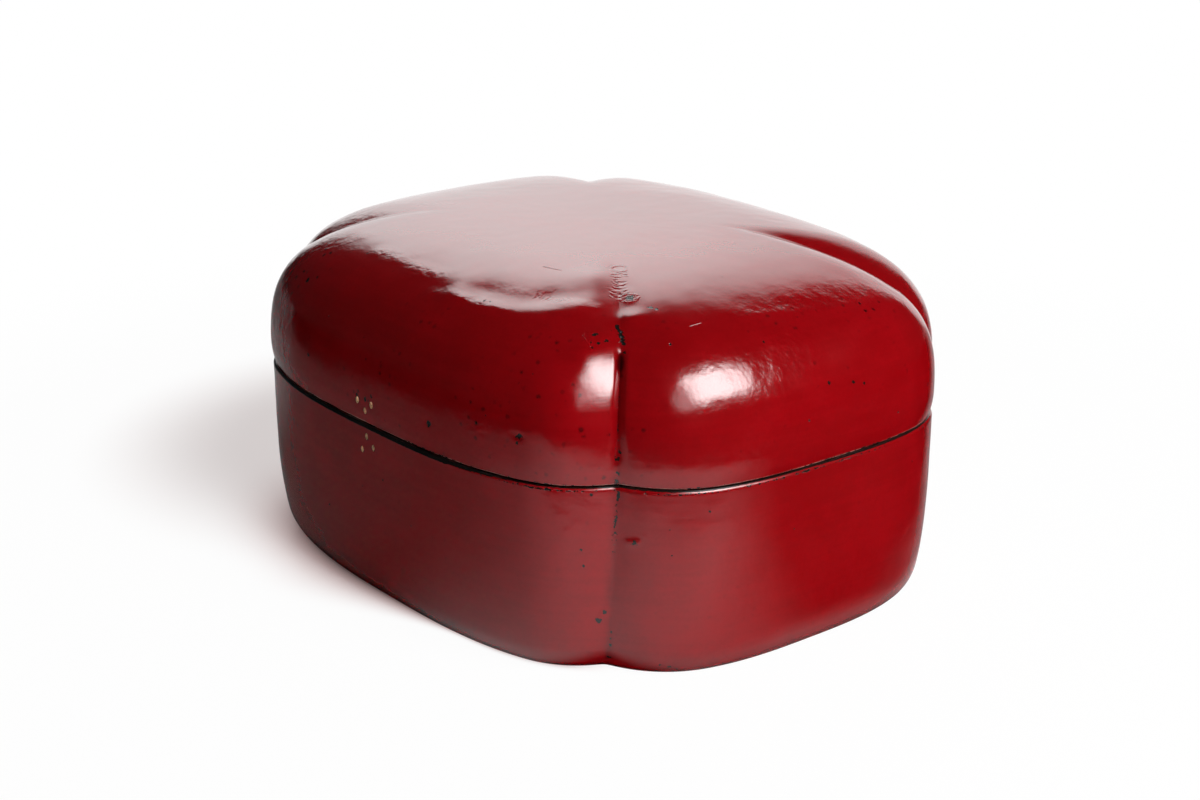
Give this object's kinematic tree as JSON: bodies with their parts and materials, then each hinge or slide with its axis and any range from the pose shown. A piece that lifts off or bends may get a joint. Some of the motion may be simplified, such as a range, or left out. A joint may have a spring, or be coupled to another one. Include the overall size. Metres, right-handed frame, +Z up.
{
  "type": "lacquer box",
  "caption": "Lobed oblong box of wood in glossy red lacquer, with a pillow-shaped lid that drops over an inner lip and lifts off; it keeps small things.",
  "frame": {"origin": "middle of the underside, on the surface that the box stands on", "axes": "+X along the length, -Y out of the long side that carries the pin stubs, +Z up"},
  "size_m": [0.3198, 0.2598, 0.1595],
  "materials": {
    "red_lacquer": "glossy red lacquer over wood",
    "black_lacquer": "satin black lacquer over wood",
    "brass": "aged brass, cut and filed"
  },
  "bodies": {
    "body": {"base_board": "red_lacquer", "wall_stave_front": "red_lacquer", "wall_stave_right": "red_lacquer", "wall_stave_back": "red_lacquer", "wall_stave_left": "red_lacquer", "lip_strip_front": "black_lacquer", "lip_strip_right": "black_lacquer", "lip_strip_back": "black_lacquer", "lip_strip_left": "black_lacquer", "body_pin_top": "brass", "body_pin_left": "brass", "body_pin_right": "brass"},
    "lid": {"lid_stave_front": "red_lacquer", "lid_stave_right": "red_lacquer", "lid_stave_back": "red_lacquer", "lid_stave_left": "red_lacquer", "lid_crown": "red_lacquer", "lid_pin_left": "brass", "lid_pin_right": "brass", "lid_pin_bottom": "brass"}
  },
  "joints": [
    {"name": "lid_lift", "type": "slide", "parent": "body", "child": "lid", "axis": [0, 0, 1], "range_m": [0, 0.18]}
  ]
}
